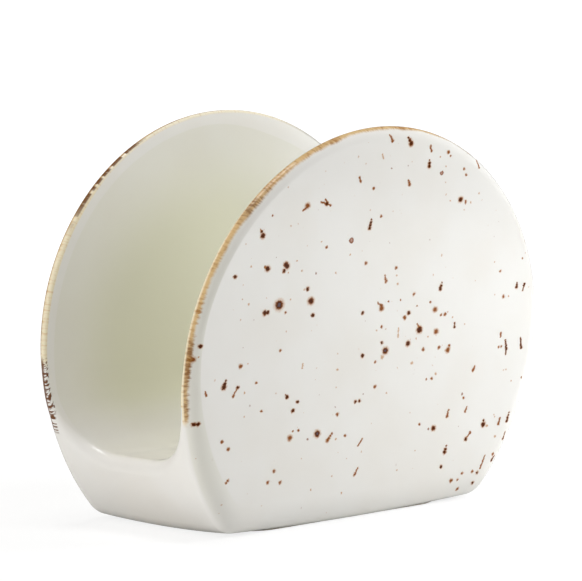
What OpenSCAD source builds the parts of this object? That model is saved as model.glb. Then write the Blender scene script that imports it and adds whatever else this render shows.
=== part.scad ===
// Table napkin holder in glazed porcelain.
// Two oval leaves lean outwards from a low saddle, and the napkins stand in the slot between them.
// Origin at the middle of the base on the table, X along the leaves, Y across the slot, Z up.

/* [Overall size] */
// Width of the leaves at their widest
width = 130; // [118:1:144]
// Height of the leaves above the table
height = 95; // [88:1:104]
// Height at which the leaves are widest, as a share of their height
widest_share = 0.42; // [0.4:0.01:0.44]
// Depth over both leaves at the table
base_depth = 44.5; // [42:0.5:54]
// Depth over both leaves at their tops
top_depth = 55.3; // [50:0.1:66]

/* [Leaves] */
// Thickness of a leaf
leaf_t = 3.2; // [2.8:0.1:4]
// Reach of the soft outer edge over the face, on the upper rim
rim_run = 3; // [2:0.1:4]
// Reach of the soft outer edge over the face, near the foot
foot_run = 7; // [4:0.1:7.5]
// Radius of the inner rim edge
inner_r = 0.8; // [0.5:0.1:1]
// Radius of the bottom corners, seen from the front
corner_r = 9; // [8.5:0.5:12]
// Rise of the bottom edges from their middles to the corners
base_rise = 0.8; // [0.5:0.1:1.2]
// How much fuller the oval is below its widest height
low_fullness = 1.03; // [1:0.01:1.05]

/* [Saddle] */
// Height of the slot floor above the table
floor_z = 18; // [16:0.5:21]
// Thickness of the saddle under the slot floor
saddle_t = 4; // [3.5:0.1:5]
// Radius of the coves beside the slot floor
cove_r = 16; // [13:0.5:17]
// Radius of the lip at each end of the slot
lip_r = 2.4; // [1.5:0.1:2.6]
// Thickness of the end walls
end_t = 4; // [3.5:0.1:5]

/* [Foot ring] */
// Width of the unglazed ring
foot_w = 4; // [3:0.1:5]
// Height of the ring inside the walls
foot_h = 3.5; // [3:0.1:4.5]
// Radius of the ring's corners, seen from below
ring_corner_r = 14; // [10:0.5:15]
// Length of the level foot of each end wall
end_flat = 3; // [2:0.1:4]

/* [Hidden] */

glaze_colour = "#F1EEE6";
inside_colour = "#E4E3D6";
biscuit_colour = "#E9E1D2";

// Least rounding that the leaf keeps where it runs flush into the saddle
seam_r = 0.25;
// Height of the small step where a cove meets its leaf
cove_step = 0.3;
// Angle at which a cove stops short of its leaf
cove_end_angle = -14;
// Height over which the soft edge changes from the foot's to the rim's
soften_height = 60;
// Height over which the inner rim edge opens above the coves
open_height = 8;
// Overrun of cuts
over = 1;
// Steps on the oval, the bottom corners, the base line, the coves, the end faces and across a wall
oval_steps = 84;
corner_steps = 5;
base_steps = 12;
cove_steps = 8;
end_steps = 4;
wall_steps = 4;
round_steps = 6;

widest_z = widest_share * height;
half_w = width / 2;
half_h = height - widest_z;
low_h = half_h * low_fullness;
lean = (top_depth - base_depth) / 2 / height;
face_y = base_depth / 2 - leaf_t;
under_z = floor_z - saddle_t;
cove_z = floor_z + cove_r;
cove_y = face_y + lean * cove_z - cove_r * norm([1, lean]);
cove_top_z = cove_z + cove_r * sin(cove_end_angle) + cove_step;

// Distance of a leaf's inner face from the middle plane, at a height
function inner_y(z) = face_y + lean * z;

// Smooth change from 0 to 1
function ease(t) = let (c = min(max(t, 0), 1)) c * c * (3 - 2 * c);
function blend(low, high, t) = low + (high - low) * ease(t);
function heading(angle) = [cos(angle), sin(angle)];

// Point and outward normal of the oval at an angle, and its half width at a height
function reach(side) = side < 0 ? low_h : half_h;
function oval(angle) = [half_w * cos(angle), widest_z + reach(sin(angle)) * sin(angle)];
function oval_normal(angle) =
    let (n = [cos(angle) / half_w, sin(angle) / reach(sin(angle))])
    n / norm(n);
function oval_half(z, inset = 0) =
    (half_w - inset) * sqrt(max(0, 1 - pow((z - widest_z) / (reach(z - widest_z) - inset), 2)));

// Angle on the oval where the bottom corner's arc is tangent to it, by halving the interval.
// The corner stands on a bottom edge that has risen by a given amount.
function corner_miss(angle, rise) = oval(angle)[1] - rise - corner_r * (1 + oval_normal(angle)[1]);
function corner_start(rise, low = -80, high = 0, turns = 40) =
    let (middle = (low + high) / 2)
    turns == 0 ? middle :
    corner_miss(middle, rise) < 0 ?
        corner_start(rise, middle, high, turns - 1) : corner_start(rise, low, middle, turns - 1);
function corner_centre(rise) =
    let (start = corner_start(rise))
    oval(start) - corner_r * oval_normal(start);
function right_corner(rise) =
    let (n = oval_normal(corner_start(rise)), top = atan2(n[1], n[0]), centre = corner_centre(rise))
    [for (i = [0:corner_steps - 1])
        let (way = heading(-90 + (top + 90) * i / corner_steps))
        [centre + corner_r * way, way]];
oval_start = corner_start(base_rise);
corner_x = corner_centre(base_rise)[0];
foot_x = corner_x - end_flat;

// Front outline as points with their outward normals, from the bottom right corner round to the left
leaf_corner = right_corner(base_rise);
function mirrored(p) = [[-p[0][0], p[0][1]], [-p[1][0], p[1][1]]];
outline = concat(
    leaf_corner,
    [for (i = [0:oval_steps])
        let (angle = oval_start + (180 - 2 * oval_start) * i / oval_steps)
        [oval(angle), oval_normal(angle)]],
    [for (i = [corner_steps - 1:-1:0]) mirrored(leaf_corner[i])],
    [for (i = [1:base_steps - 1])
        let (side = 2 * i / base_steps - 1)
        [[corner_x * side, base_rise * pow(side, 2)], heading(-90)]]
);

// Closed skin over a stack of rings that have the same number of points.
// Its two ends are flat, and fan out from a hub point where hubs are given.
module loft(rings, hubs = []) {
    count = len(rings[0]);
    last = len(rings) - 1;
    hub = len(rings) * count;
    skin = [
        for (j = [0:last - 1])
        for (i = [0:count - 1])
        let (a = j * count + i, b = j * count + (i + 1) % count)
        each [[a, b, b + count], [a, b + count, a + count]]
    ];
    flat_ends = [
        [for (i = [count - 1:-1:0]) i],
        [for (i = [0:count - 1]) last * count + i]
    ];
    fan_ends = [
        for (i = [0:count - 1])
        let (next = (i + 1) % count)
        each [[next, i, hub], [last * count + i, last * count + next, hub + 1]]
    ];
    polyhedron(
        points = concat([for (ring = rings) each ring], hubs),
        faces = concat(skin, len(hubs) > 0 ? fan_ends : flat_ends)
    );
}

// One ring of a leaf: the outline drawn in by a part of each edge's reach, at its place in the thickness.
// The leaf stands at positive Y here.
function edge_run(z) = blend(foot_run, rim_run, z / soften_height);
function edge_inner(z) = blend(seam_r, inner_r, (z - cove_top_z) / open_height);
function inner_ring(turn) = [
    for (p = outline)
    let (r = edge_inner(p[0][1]))
    let (q = p[0] - p[1] * r * (1 - sin(turn)))
    [q[0], inner_y(q[1]) + r * (1 - cos(turn)), q[1]]
];
function outer_ring(turn) = [
    for (p = outline)
    let (rise = leaf_t - edge_inner(p[0][1]))
    let (q = p[0] - p[1] * edge_run(p[0][1]) * (1 - cos(turn)))
    [q[0], inner_y(q[1]) + leaf_t - rise * (1 - sin(turn)), q[1]]
];

// Flat inside, soft outer edge, nearly crisp inner rim edge
module leaf() {
    rings = concat(
        [for (turn = [0, 45, 90]) inner_ring(turn)],
        [for (i = [1:round_steps]) outer_ring(90 * i / round_steps)]
    );
    hubs = [for (t = [0, leaf_t]) [0, inner_y(widest_z) + t, widest_z]];
    loft(rings, hubs);
}

module front_leaf() {
    color(glaze_colour)
    mirror([0, 1, 0])
    leaf();
}

module back_leaf() {
    color(inside_colour)
    leaf();
}

// Upper line of the saddle's section, from the middle of the slot to a leaf, as [y, z]
half_section = concat(
    [[0, floor_z]],
    [for (i = [0:cove_steps])
        let (angle = -90 + (cove_end_angle + 90) * i / cove_steps)
        [cove_y + cove_r * cos(angle), cove_z + cove_r * sin(angle)]],
    [[inner_y(cove_top_z), cove_top_z]]
);
section = concat(
    [for (i = [len(half_section) - 1:-1:1]) [-half_section[i][0], half_section[i][1]]],
    half_section
);

// The saddle cut lengthwise under one point of that line, right half, from the underside up over the lip
function lip_at(top_z) = blend(lip_r, inner_r, (top_z - floor_z) / (cove_top_z - floor_z));
function lip_slope(z) = atan2(half_w * (widest_z - z) / low_h, sqrt(pow(low_h, 2) - pow(z - widest_z, 2)));
function half_cut(top_z) =
    let (r = lip_at(top_z), slope = lip_slope(top_z - r))
    let (end_z = top_z - r * (1 + sin(slope)))
    let (centre = [oval_half(end_z) - r * cos(slope), top_z - r])
    concat(
        [for (i = [0:end_steps - 1])
            let (z = under_z + (end_z - under_z) * i / end_steps)
            [oval_half(z), z]],
        [for (i = [0:round_steps]) centre + r * heading(-slope + (90 + slope) * i / round_steps)]
    );
function full_cut(half) = concat(half, [for (i = [len(half) - 1:-1:0]) [-half[i][0], half[i][1]]]);

// Floor of the slot with its coves and its rounded lips
module saddle() {
    color(inside_colour)
    loft([
        for (i = [len(section) - 1:-1:0])
        let (share = section[i][0] / inner_y(section[i][1]))
        [for (q = full_cut(half_cut(section[i][1]))) [q[0], share * inner_y(q[1]), q[1]]]
    ]);
}

// Section of an end wall: the outline from the foot to the saddle's underside, and the same drawn in.
// Its bottom edge rises by a given amount.
wall_top = asin((under_z - widest_z) / low_h);
function wall_outer(rise) = concat(
    right_corner(rise),
    [for (i = [0:end_steps * 2])
        let (start = corner_start(rise), angle = start + (wall_top - start) * i / end_steps / 2)
        [oval(angle), oval_normal(angle)]]
);
function wall_section(rise) =
    let (outer = wall_outer(rise), drawn = [for (p = outer) p[0] - end_t * p[1]])
    concat(
        [[foot_x, rise]],
        [for (p = outer) p[0]],
        [[oval_half(under_z, end_t), under_z]],
        [for (i = [len(outer) - 1 - wall_skip:-1:0]) drawn[i]],
        [[foot_x, rise + end_t]]
    );
wall_skip = len([for (p = wall_outer(base_rise)) if (p[0][1] - end_t * p[1][1] > under_z - seam_r) p]) + 1;

// Closes the saddle between the leaves. Its bottom edge touches the table at its middle only.
module end_wall() {
    loft([
        for (i = [0:2 * wall_steps])
        let (side = 1 - i / wall_steps)
        [for (q = wall_section(base_rise * pow(side, 2))) [q[0], side * inner_y(q[1]), q[1]]]
    ]);
}

module right_end_wall() {
    color(glaze_colour)
    end_wall();
}

module left_end_wall() {
    color(glaze_colour)
    mirror([1, 0, 0])
    end_wall();
}

// A rectangle with round corners, as long and as wide as given from the middle
module round_frame(half_x, half_y, corner, tall) {
    linear_extrude(tall)
    offset(corner)
    square([2 * (half_x - corner), 2 * (half_y - corner)], center = true);
}

// Ring inside the walls, ground flat and left unglazed where the holder stands
module foot_ring() {
    color(biscuit_colour)
    difference() {
        intersection() {
            rotate([90, 0, 90])
            linear_extrude(2 * foot_x, center = true)
            polygon([
                [-inner_y(0), 0],
                [inner_y(0), 0],
                [inner_y(foot_h), foot_h],
                [-inner_y(foot_h), foot_h]
            ]);
            round_frame(foot_x, inner_y(foot_h), ring_corner_r, foot_h);
        }
        translate([0, 0, -over])
        round_frame(foot_x - foot_w, face_y - foot_w, ring_corner_r - foot_w, foot_h + 2 * over);
    }
}

front_leaf();
back_leaf();
saddle();
left_end_wall();
right_end_wall();
foot_ring();
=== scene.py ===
# %% [markdown]
# # A speckled porcelain napkin holder
# The holder is one casting: two oval leaves that lean outwards, and a thick saddle that joins
# them at the foot and leaves a U-shaped slot for the napkins. A clear, glossy glaze covers all
# but the ring it stands on. Iron gives brown specks on the outer faces and a brushed brown rim.
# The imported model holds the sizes. This lesson dresses it with smooth glazed skins.

# %% Load the frame
import bpy
import math
import random
from mathutils import Matrix, Vector


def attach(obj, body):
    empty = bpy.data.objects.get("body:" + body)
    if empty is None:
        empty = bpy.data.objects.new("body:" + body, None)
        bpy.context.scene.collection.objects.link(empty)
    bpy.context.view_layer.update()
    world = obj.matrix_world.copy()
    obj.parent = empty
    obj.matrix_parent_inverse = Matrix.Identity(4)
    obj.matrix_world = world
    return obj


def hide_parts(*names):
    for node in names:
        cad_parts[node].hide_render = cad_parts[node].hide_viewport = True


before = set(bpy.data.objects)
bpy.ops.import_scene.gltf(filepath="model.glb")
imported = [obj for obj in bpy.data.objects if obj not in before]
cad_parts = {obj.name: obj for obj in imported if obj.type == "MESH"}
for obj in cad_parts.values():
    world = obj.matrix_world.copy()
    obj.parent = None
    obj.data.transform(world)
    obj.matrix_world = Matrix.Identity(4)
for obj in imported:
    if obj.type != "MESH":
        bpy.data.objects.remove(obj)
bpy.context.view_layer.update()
MM = 0.001
scene = bpy.context.scene
print("nodes:", sorted(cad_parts))

# %% [markdown]
# ## Camera first
# The photograph was taken from far away with a long lens, a little above the table, from the
# left front. From so far the two leaves look almost equally large, and the long lens makes them
# fill the frame. The small roll is the tilt that the photograph has.

# %% Camera
FRAME_PX, SENSOR_MM = 582, 36
CAMERA_AZIMUTH, CAMERA_HEIGHT_ANGLE, CAMERA_ROLL = -49.536, 7.30, 1.20
CAMERA_FAR = 1.425
FOCAL_PX = 5880.35
AIM_HEIGHT = 0.0475
AIM_SHIFT_PX = (2.5, 23.1)
CLIP_NEAR, CLIP_FAR = 0.05, 20


def aim_camera():
    turn, lift = math.radians(CAMERA_AZIMUTH), math.radians(CAMERA_HEIGHT_ANGLE)
    back = Vector((math.sin(turn) * math.cos(lift), -math.cos(turn) * math.cos(lift), math.sin(lift)))
    right = (-back).cross(Vector((0, 0, 1))).normalized()
    up = right.cross(-back)
    roll = math.radians(CAMERA_ROLL)
    right, up = right * math.cos(roll) + up * math.sin(roll), up * math.cos(roll) - right * math.sin(roll)
    middle = Vector((0, 0, AIM_HEIGHT))
    place = middle + back * CAMERA_FAR
    per_px = CAMERA_FAR / FOCAL_PX
    aim = middle - right * AIM_SHIFT_PX[0] * per_px + up * AIM_SHIFT_PX[1] * per_px
    back = (place - aim).normalized()
    right = (right - back * right.dot(back)).normalized()
    up = back.cross(right)
    lens = bpy.data.cameras.new("camera")
    lens.sensor_width = SENSOR_MM
    lens.lens = FOCAL_PX * SENSOR_MM / FRAME_PX
    lens.clip_start, lens.clip_end = CLIP_NEAR, CLIP_FAR
    camera = bpy.data.objects.new("camera", lens)
    scene.collection.objects.link(camera)
    camera.matrix_world = Matrix((
        (right.x, up.x, back.x, place.x),
        (right.y, up.y, back.y, place.y),
        (right.z, up.z, back.z, place.z),
        (0, 0, 0, 1)))
    scene.camera = camera
    return camera


camera = aim_camera()
print("camera at", [round(v, 3) for v in camera.matrix_world.translation])

# %% [markdown]
# ## The sizes
# These are the part's own sizes, in millimetres. Every curve below is worked out from them, so
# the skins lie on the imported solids. Only the roll-off near the rim, less than half a millimetre
# deep, and the slightly crisper rim edge are finer here than in the source.

# %% Sizes in millimetres
WIDTH, HEIGHT = 130, 95
HALF_W = WIDTH / 2
WIDEST_SHARE = 0.42
WIDEST_Z = WIDEST_SHARE * HEIGHT
HALF_H = HEIGHT - WIDEST_Z
LEAF_T = 3.2
BASE_DEPTH, TOP_DEPTH = 44.5, 55.3
LEAN = (TOP_DEPTH - BASE_DEPTH) / 2 / HEIGHT
FACE_Y = BASE_DEPTH / 2 - LEAF_T
RIM_RUN, FOOT_RUN, SOFTEN_HEIGHT = 3, 7, 60
CORNER_R, BASE_RISE, LOW_FULLNESS = 9, 0.8, 1.03
FLOOR_Z, UNDER_Z = 18, 14
COVE_R, LIP_R, RIM_R = 16, 2.4, 0.7
END_T, END_FLAT = 4, 3
ROLL_OFF, ROLL_WIDTH, ROLL_FADE = 0.3, 3.2, 10
SQUARE = math.hypot(1, LEAN)
COVE_Z = FLOOR_Z + COVE_R
COVE_Y = FACE_Y + LEAN * COVE_Z - COVE_R * SQUARE
COVE_STOP = -math.atan(LEAN)
COVE_TOP_Z = COVE_Z + COVE_R * math.sin(COVE_STOP)
print("coves end at height", round(COVE_TOP_Z, 2))


# %% Curves of the casting
HALVINGS = 50
LOWEST_CORNER_TURN = math.radians(-80)


def inner_y(z):
    return FACE_Y + LEAN * z


def ease(t):
    t = min(max(t, 0), 1)
    return t * t * (3 - 2 * t)


def blend(low, high, t):
    return low + (high - low) * ease(t)


def oval(angle):
    """Point and outward normal of the leaf's oval, in the plane of its face. It is fuller below."""
    tall = HALF_H * (LOW_FULLNESS if math.sin(angle) < 0 else 1)
    point = (HALF_W * math.cos(angle), WIDEST_Z + tall * math.sin(angle))
    normal = Vector((math.cos(angle) / HALF_W, math.sin(angle) / tall)).normalized()
    return Vector(point), normal


def halve(miss, low, high):
    """Where a rising function crosses zero, by halving the interval."""
    for _ in range(HALVINGS):
        middle = (low + high) / 2
        low, high = (middle, high) if miss(middle) < 0 else (low, middle)
    return (low + high) / 2


def angle_at(z, inset=0):
    """Angle of the oval's point whose inset copy lies at height z."""
    return halve(lambda a: oval(a)[0].y - inset * oval(a)[1].y - z, -math.pi / 2, math.pi / 2)


def corner_at(rise):
    """Bottom corner over an edge that has risen: where the oval leaves it, its centre and its last turn."""
    def miss(angle):
        point, normal = oval(angle)
        return point.y - rise - CORNER_R * (1 + normal.y)

    start = halve(miss, LOWEST_CORNER_TURN, 0)
    point, normal = oval(start)
    return start, point - CORNER_R * normal, math.atan2(normal.y, normal.x)


CORNER_X = corner_at(BASE_RISE)[1].x
FOOT_X = CORNER_X - END_FLAT
print("foot ends at", round(FOOT_X, 2))

# %% [markdown]
# ## Stations round the edge
# Each leaf's outline is walked from the middle of its base, round the corner and up to the top.
# At each station the walk notes the point on the outline, its outward normal and the place
# where the soft outer edge starts. Above the foot it also notes a small rolling ball: the ball
# touches the slot on one side and the rim on the other, and its arc is the glazed inner edge.
# One walk serves both leaves and the saddle, so their seams share the same points.

# %% Stations
BASE_STEPS, CORNER_STEPS, WALL_STEPS, LIP_STEPS, COVE_STEPS, RIM_STEPS = 16, 12, 6, 3, 18, 100


def plain_station(point, normal):
    return {"at": point, "out": normal, "y": inner_y(point.y)}


def rolled(station, centre_y, centre_z, radius, slot_normal):
    """Adds the rolling ball to a station: its centre, its radius and the slot's normal."""
    centre_x = station["at"].x - radius * station["out"].x
    station["ball"] = (Vector((centre_x, centre_y, centre_z)), radius, slot_normal)
    station["y"] = max(centre_y, inner_y(station["at"].y))
    return station


def oval_stations(low, high, count):
    return [plain_station(*oval(low + (high - low) * i / count)) for i in range(count)]


def corner_stations(rise):
    """The bottom corner and the oval above it, up to the saddle's underside."""
    start, centre, last_turn = corner_at(rise)
    ways = [-math.pi / 2 + (last_turn + math.pi / 2) * i / CORNER_STEPS for i in range(CORNER_STEPS)]
    ways = [Vector((math.cos(turn), math.sin(turn))) for turn in ways]
    return [plain_station(centre + CORNER_R * way, way) for way in ways] + oval_stations(
        start, angle_at(UNDER_Z), WALL_STEPS)


def base_stations():
    shares = [i / BASE_STEPS for i in range(BASE_STEPS)]
    return [plain_station(Vector((CORNER_X * t, BASE_RISE * t ** 2)), Vector((0, -1))) for t in shares]


def cove_station(turn):
    """Station on the cove's arc, or on the lip of the floor where the arc ends level."""
    y, z = COVE_Y + COVE_R * math.cos(turn), COVE_Z + COVE_R * math.sin(turn)
    radius = blend(LIP_R, RIM_R, (z - FLOOR_Z) / (COVE_TOP_Z - FLOOR_Z))
    slot_normal = Vector((0, -math.cos(turn), -math.sin(turn)))
    centre_y, centre_z = y - radius * slot_normal.y, z - radius * slot_normal.z
    return rolled(plain_station(*oval(angle_at(centre_z, radius))), centre_y, centre_z, radius, slot_normal)


def rim_station(angle):
    """Station above the coves, where the inner face rolls off softly towards the rim."""
    station = plain_station(*oval(angle))
    point, out = station["at"], station["out"]
    centre_z = point.y - RIM_R * out.y
    fade = ease((centre_z - COVE_TOP_Z) / ROLL_FADE)
    slope = 2 * ROLL_OFF / ROLL_WIDTH * fade
    face = Vector((0, -1, LEAN)).normalized()
    slot_normal = (face + slope * Vector((out.x, 0, out.y))).normalized()
    centre_y = inner_y(centre_z + RIM_R * slot_normal.z) + ROLL_OFF * fade - RIM_R * slot_normal.y
    rolled(station, centre_y, centre_z, RIM_R, slot_normal)
    station["fade"] = fade
    return station


def walk():
    tangent = cove_station(COVE_STOP)
    lip = cove_station(-math.pi / 2)
    seam_angle, lip_angle = angle_at(UNDER_Z), angle_at(lip["at"].y)
    rim_angle = angle_at(tangent["at"].y)
    foot = base_stations() + corner_stations(BASE_RISE)
    side = oval_stations(seam_angle, lip_angle, LIP_STEPS)
    turns = [-math.pi / 2 + (COVE_STOP + math.pi / 2) * i / COVE_STEPS for i in range(COVE_STEPS)]
    coves = [cove_station(t) for t in turns]
    rims = [rim_station(rim_angle + (math.pi / 2 - rim_angle) * i / RIM_STEPS) for i in range(RIM_STEPS + 1)]
    return foot, side, coves, rims


FOOT, SIDE, COVES, RIMS = walk()
HALF_WALK = FOOT + SIDE + COVES + RIMS
print("stations from base to top:", len(HALF_WALK))

# %% [markdown]
# ## Draping sheets
# A curved glazed skin is hard to push by hand, so it starts as a flat grid primitive with the
# right number of squares, and its points are then laid on the stations, as a sheet of clay is
# laid over a mould. Flat faces start as a filled circle whose points are laid on their edge.
# The sheets of a piece are joined, their doubles are merged, and the normals are set outwards.

# %% Helpers for sheets
GLAZE, JOINT = 0, 1
SLOT_NAMES = ("glaze", "joint")
# In metres: points closer than the first are merged, and edges shorter than the second go.
MERGE_WITHIN, LEAST_EDGE = 2e-6, 1e-7


def deselect():
    bpy.ops.object.select_all(action="DESELECT")


def select_only(piece):
    deselect()
    piece.select_set(True)
    bpy.context.view_layer.objects.active = piece


def lay(obj, points):
    """Puts an object's points on the given places, in mm."""
    obj.data.vertices.foreach_set("co", [c * MM for p in points for c in p])
    obj.data.update()
    return obj


def grid_sheet(rows, part=GLAZE):
    """A grid primitive draped over rows of points."""
    bpy.ops.mesh.primitive_grid_add(x_subdivisions=len(rows[0]) - 1, y_subdivisions=len(rows) - 1, size=1)
    sheet = lay(bpy.context.object, [p for row in rows for p in row])
    sheet["part"] = part
    return sheet


def flat_sheet(loop, part=GLAZE):
    """A filled circle primitive whose points are laid along a closed edge."""
    bpy.ops.mesh.primitive_circle_add(vertices=len(loop), fill_type="NGON")
    sheet = lay(bpy.context.object, loop)
    sheet["part"] = part
    return sheet


def sew(name, sheets):
    """Joins sheets into one closed piece. Faces hidden in the joints keep a slot of their own."""
    for sheet in sheets:
        sheet.data.materials.clear()
        for slot_name in SLOT_NAMES:
            material = bpy.data.materials.get(slot_name) or bpy.data.materials.new(slot_name)
            sheet.data.materials.append(material)
        for face in sheet.data.polygons:
            face.material_index = sheet["part"]
    deselect()
    for sheet in sheets:
        sheet.select_set(True)
    bpy.context.view_layer.objects.active = sheets[0]
    bpy.ops.object.join()
    piece = bpy.context.object
    piece.name = piece.data.name = name
    tidy_shell(piece)
    return piece


def volume(mesh):
    """Volume inside a closed mesh. It is negative where the faces point inwards."""
    mesh.calc_loop_triangles()
    corners = [[mesh.vertices[v].co for v in t.vertices] for t in mesh.loop_triangles]
    return sum(a.dot(b.cross(c)) for a, b, c in corners) / 6


def face_outwards(piece):
    bpy.ops.object.mode_set(mode="EDIT")
    bpy.ops.mesh.select_all(action="SELECT")
    bpy.ops.mesh.normals_make_consistent(inside=False)
    bpy.ops.object.mode_set(mode="OBJECT")
    if volume(piece.data) < 0:
        bpy.ops.object.mode_set(mode="EDIT")
        bpy.ops.mesh.flip_normals()
        bpy.ops.object.mode_set(mode="OBJECT")


def tidy_shell(piece):
    select_only(piece)
    bpy.ops.object.mode_set(mode="EDIT")
    bpy.ops.mesh.select_all(action="SELECT")
    bpy.ops.mesh.remove_doubles(threshold=MERGE_WITHIN)
    bpy.ops.mesh.dissolve_degenerate(threshold=LEAST_EDGE)
    bpy.ops.mesh.select_all(action="DESELECT")
    bpy.ops.mesh.select_non_manifold()
    bpy.ops.object.mode_set(mode="OBJECT")
    loose = sum(1 for v in piece.data.vertices if v.select)
    face_outwards(piece)
    print(piece.name, len(piece.data.vertices), "points,", loose, "on open edges")


def mirrored_copy(piece, name, axis):
    """The same piece on the other side: copied, scaled by -1 in edit mode, normals set again."""
    select_only(piece)
    bpy.ops.object.duplicate()
    copy = bpy.context.object
    copy.name = copy.data.name = name
    bpy.ops.object.mode_set(mode="EDIT")
    bpy.ops.mesh.select_all(action="SELECT")
    flip = [-1 if i == axis else 1 for i in range(3)]
    bpy.ops.transform.resize(value=flip, center_override=(0, 0, 0))
    bpy.ops.object.mode_set(mode="OBJECT")
    face_outwards(copy)
    return copy


def to_left(points):
    return [(-p[0], p[1], p[2]) for p in points]


print("helpers ready")

# %% [markdown]
# ## A leaf
# On the real holder a leaf is a thin oval wall with a flat inner face. Its outer edge is softly
# rounded, more at the foot than at the rim, and its inner edge is almost crisp. The leaf could
# be a scaled cylinder with bevels, but a bevel has one width all round, and this edge changes.
# So each station gives one row of the soft edge, a quarter of an ellipse, and one row of the
# rolled inner edge. The back leaf is made, and the front leaf is its mirrored copy.

# %% Rows of a leaf
EDGE_TURNS, BALL_TURNS, BAND_TURNS = 14, 7, 5


def edge_row(station):
    """Soft outer edge at one station, from the rim to the outer face."""
    point, out = station["at"], station["out"]
    run = blend(FOOT_RUN, RIM_RUN, point.y / SOFTEN_HEIGHT)
    rise = inner_y(point.y) + LEAF_T - station["y"]
    row = []
    for i in range(EDGE_TURNS + 1):
        turn = math.pi / 2 * i / EDGE_TURNS
        q = point - out * run * (1 - math.cos(turn))
        row.append((q.x, inner_y(q.y) + LEAF_T - rise * (1 - math.sin(turn)), q.y))
    return row


def ball_row(station):
    """Arc of the rolling ball, from the slot to the rim."""
    centre, radius, slot_normal = station["ball"]
    rim_normal = Vector((station["out"].x, 0, station["out"].y))
    whole = slot_normal.angle(rim_normal)
    row = []
    for i in range(BALL_TURNS + 1):
        t = i / BALL_TURNS
        way = (slot_normal * math.sin((1 - t) * whole) + rim_normal * math.sin(t * whole)) / math.sin(whole)
        row.append(tuple(centre + radius * way))
    return row


def band_row(station, level=False):
    """Inner face just inside the rim, where it rolls off, from the rolled edge inwards."""
    start = Vector(ball_row(station)[0])
    out = Vector((1, 0)) if level else station["out"]
    row = []
    for i in range(BAND_TURNS + 1):
        inward = ROLL_WIDTH * i / BAND_TURNS
        q = Vector((start.x, start.z)) - out * inward
        drop = ROLL_OFF * station.get("fade", 0) * (1 - i / BAND_TURNS) ** 2
        row.append((q.x, inner_y(q.y) + drop, q.y))
    return row


EDGE_ROWS = [edge_row(s) for s in HALF_WALK]
RIM_BALLS = [ball_row(s) for s in RIMS]
RIM_BANDS = [band_row(s, level=(i == 0)) for i, s in enumerate(RIMS)]


def whole_loop(rows):
    """Rows of the right half, then of the left half back to the start."""
    return rows + [to_left(row) for row in rows[-2::-1]]


def loop_column(rows, column):
    return [row[column] for row in rows]


# %% Back leaf and front leaf
def joint_loop():
    """Closed edge of the face that a leaf shares with the saddle and the end walls."""
    below = [row[0] for row in EDGE_ROWS[:len(FOOT + SIDE + COVES)]]
    corner = RIM_BALLS[0][::-1] + RIM_BANDS[0][1:]
    right = below + corner
    return right + to_left(right[:0:-1])


def make_back_leaf():
    edge = whole_loop(EDGE_ROWS)
    balls, bands = whole_loop(RIM_BALLS), whole_loop(RIM_BANDS)
    sheets = [
        grid_sheet(edge),
        flat_sheet(loop_column(edge[:-1], EDGE_TURNS)),
        grid_sheet(balls),
        grid_sheet(bands),
        flat_sheet(loop_column(bands, BAND_TURNS)),
        flat_sheet(joint_loop(), JOINT),
    ]
    return sew("back_leaf_glazed", sheets)


back_leaf = make_back_leaf()
front_leaf = mirrored_copy(back_leaf, "front_leaf_glazed", 1)

# %% [markdown]
# ## The saddle
# The saddle is the thick floor of the slot. Its coves run up into the leaves without a line, and
# at each end its floor rolls over a soft lip into the end face. It is one strip across the slot
# for the floor and the coves, one rolled strip for each lip, and the end faces below them.

# %% Rows of the saddle
SIDE_COLUMNS, FLOOR_COLUMNS = 6, 6


def across(row_of, stations):
    """Rows over the slot, from one leaf down a cove, over the floor and up to the other."""
    near = [row_of(s) for s in stations]
    shares = [1 - 2 * i / FLOOR_COLUMNS for i in range(1, FLOOR_COLUMNS)]
    floor = [[(p[0], p[1] * t, p[2]) for p in near[-1]] for t in shares]
    return near + floor + [[(p[0], -p[1], p[2]) for p in row] for row in near[::-1]]


def slot_row(station):
    start = ball_row(station)[0]
    right = [(start[0] - ROLL_WIDTH * i / BAND_TURNS, start[1], start[2]) for i in range(BAND_TURNS + 1)]
    return right + to_left(right[::-1])


def end_strip(station):
    """Level strip of the end face, from the leaf to the rolled lip."""
    point, lip_y = station["at"], min(station["ball"][0].y, station["y"])
    return [(point.x, station["y"] + (lip_y - station["y"]) * i / SIDE_COLUMNS, point.y)
            for i in range(SIDE_COLUMNS + 1)]


def end_shares():
    """Places across the end face below the lip, as shares of the leaf's distance."""
    lip = COVES[0]
    shares = [p[1] / lip["y"] for p in end_strip(lip)]
    floor = [shares[-1] * (1 - 2 * i / FLOOR_COLUMNS) for i in range(1, FLOOR_COLUMNS)]
    return shares + floor + [-s for s in shares[::-1]]


SHARES = end_shares()


def end_row(station):
    point = station["at"]
    return [(point.x, share * inner_y(point.y), point.y) for share in SHARES]


# %% Saddle
def both_ends(rows):
    return [rows, [to_left(row) for row in rows]]


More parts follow.
